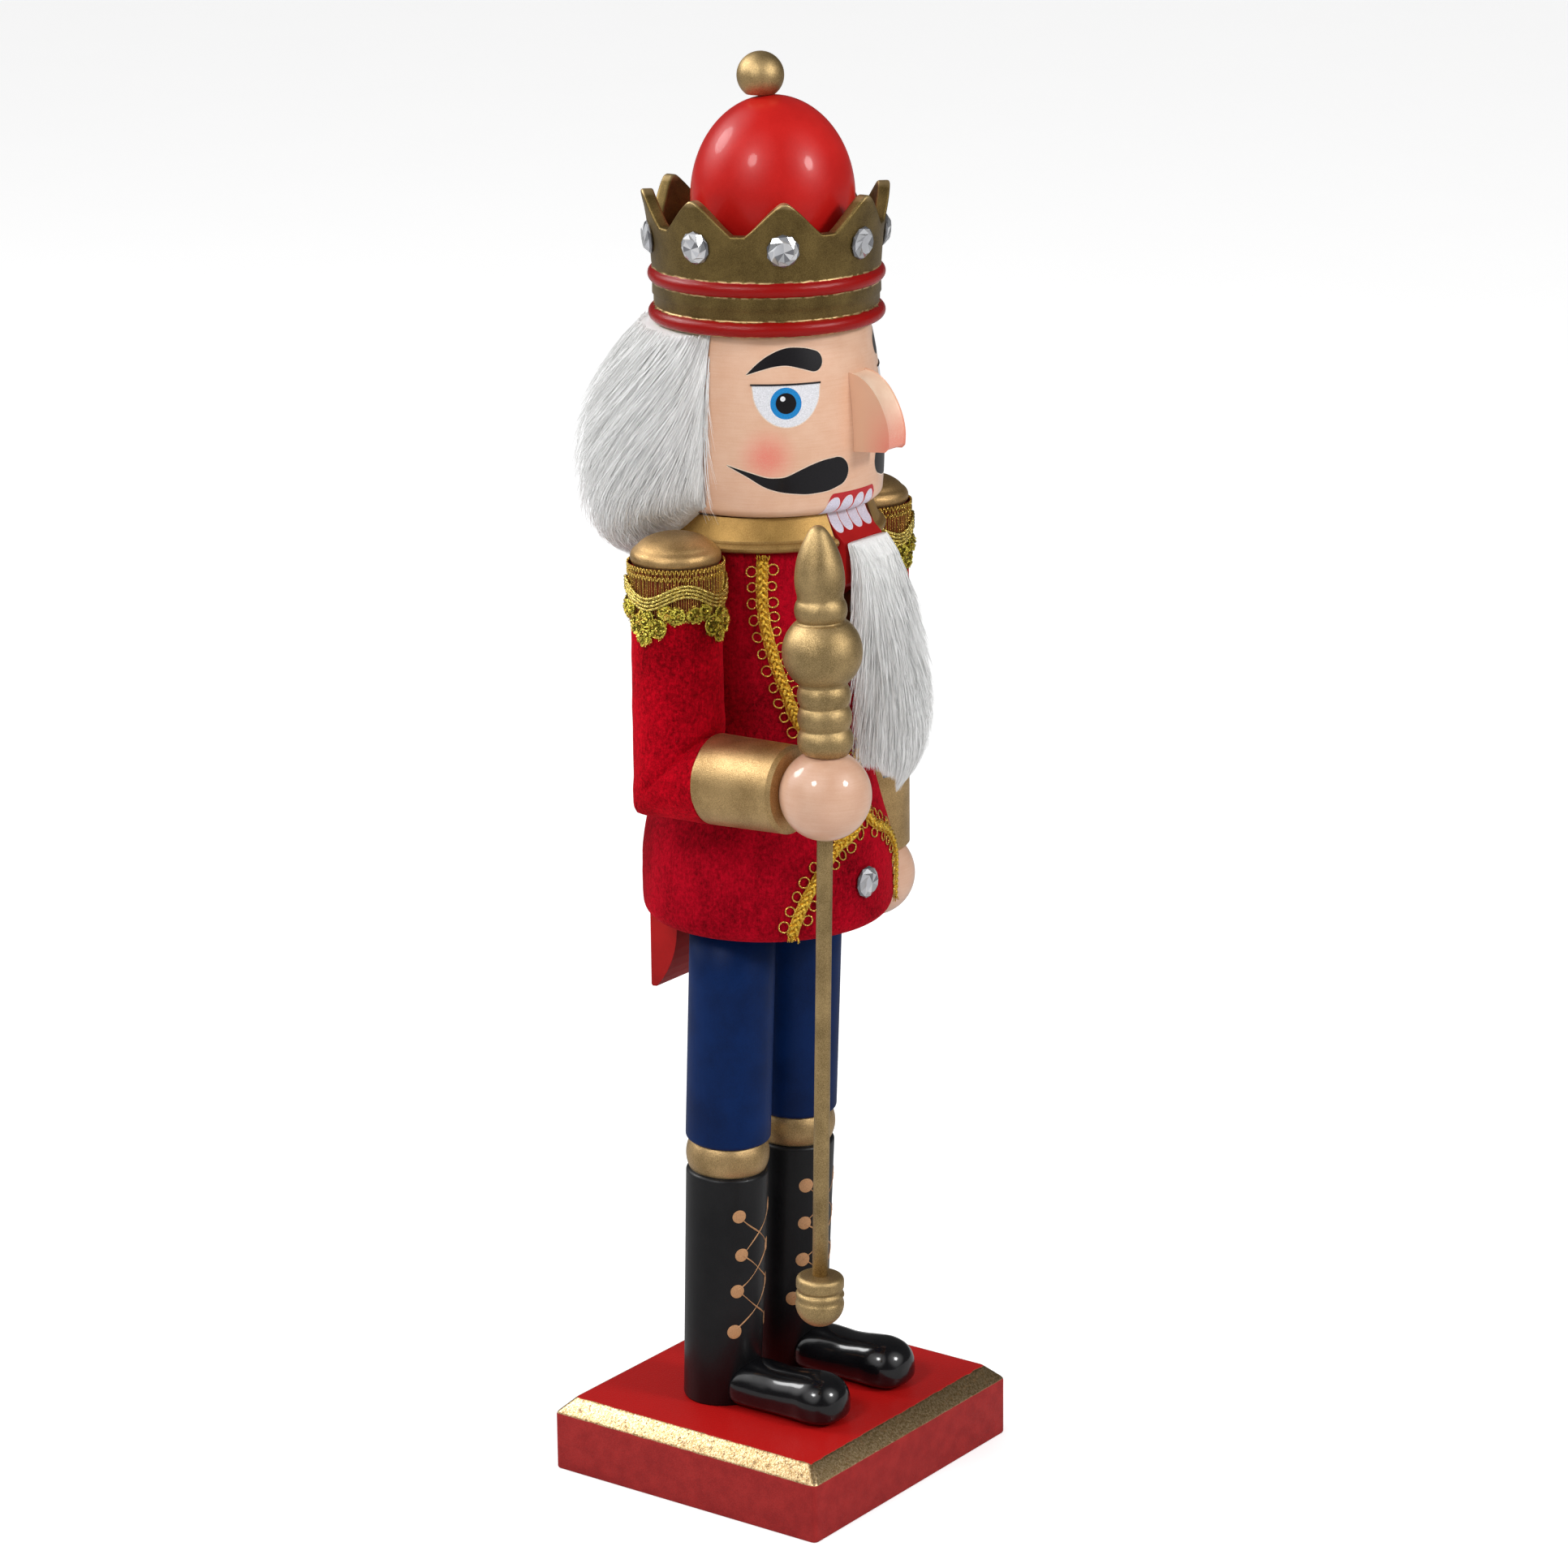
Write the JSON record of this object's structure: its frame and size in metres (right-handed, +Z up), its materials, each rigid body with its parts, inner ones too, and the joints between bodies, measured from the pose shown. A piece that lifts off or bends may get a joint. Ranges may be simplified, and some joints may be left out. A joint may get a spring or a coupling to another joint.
{
  "type": "nutcracker figure",
  "caption": "Painted wooden king nutcracker with a lever jaw, velvet coat, fur hair and beard, a crown and a sceptre that lifts out of its hand.",
  "frame": {"origin": "centre of the base plate's underside, on the surface that the figure stands on", "axes": "+Z up, the figure faces -Y, its right arm and sceptre are at -X"},
  "size_m": [0.102, 0.098, 0.3556],
  "materials": {
    "base_paint": "satin paint on wood",
    "screw_steel": "zinc plated",
    "shoe_gloss": "gloss black enamel on wood",
    "leg_paint": "satin enamel on wood",
    "bare_wood": "plain birch",
    "gold_paint": "metallic bronze-gold paint on wood",
    "velvet": "short-pile velvet",
    "red_paint": "gloss enamel on wood",
    "fur": "long-pile fur",
    "skin_paint": "satin enamel on wood",
    "rhinestone": "faceted, foil back",
    "metallic_trim": "metallic thread ribbon",
    "metallic_braid": "metallic thread braid"
  },
  "bodies": {
    "root": {"base_plate": "base_paint", "base_screws": "screw_steel", "right_shoe": "shoe_gloss", "left_shoe": "shoe_gloss", "right_leg": "leg_paint", "left_leg": "leg_paint", "leg_dowels": "bare_wood", "torso": "gold_paint", "coat": "velvet", "lever_pin": "screw_steel", "head_dowels": "bare_wood", "head": "skin_paint", "nose": "skin_paint", "hair": "fur", "crown_dowel": "bare_wood", "crown": "gold_paint", "crown_gems": "rhinestone", "dome_dowel": "bare_wood", "crown_dome": "red_paint", "crown_ball": "gold_paint", "shoulder_dowels": "bare_wood", "right_upper_arm": "bare_wood", "right_forearm": "gold_paint", "elbow_dowel": "bare_wood", "right_sleeve": "velvet", "left_arm": "gold_paint", "left_sleeve": "velvet", "right_hand": "skin_paint", "left_hand": "skin_paint", "right_hand_dowel": "bare_wood", "left_hand_dowel": "bare_wood", "right_shoulder_cap": "gold_paint", "left_shoulder_cap": "gold_paint", "right_epaulette": "metallic_trim", "left_epaulette": "metallic_trim", "right_braid": "metallic_braid", "left_braid": "metallic_braid", "coat_gem": "rhinestone"},
    "jaw": {"jaw_lever": "red_paint", "beard": "fur"},
    "sceptre": {"sceptre_head": "gold_paint", "sceptre_rod": "gold_paint", "sceptre_foot": "gold_paint"}
  },
  "joints": [
    {"name": "jaw_hinge", "type": "hinge", "parent": "root", "child": "jaw", "pos_m": [0, 0.002, 0.222], "axis": [1, 0, 0], "range_deg": [0, 20], "deforming": ["beard"]},
    {"name": "sceptre_lift", "type": "slide", "parent": "root", "child": "sceptre", "axis": [0, -0.0218, 0.9998], "range_m": [0, 0.1]}
  ]
}
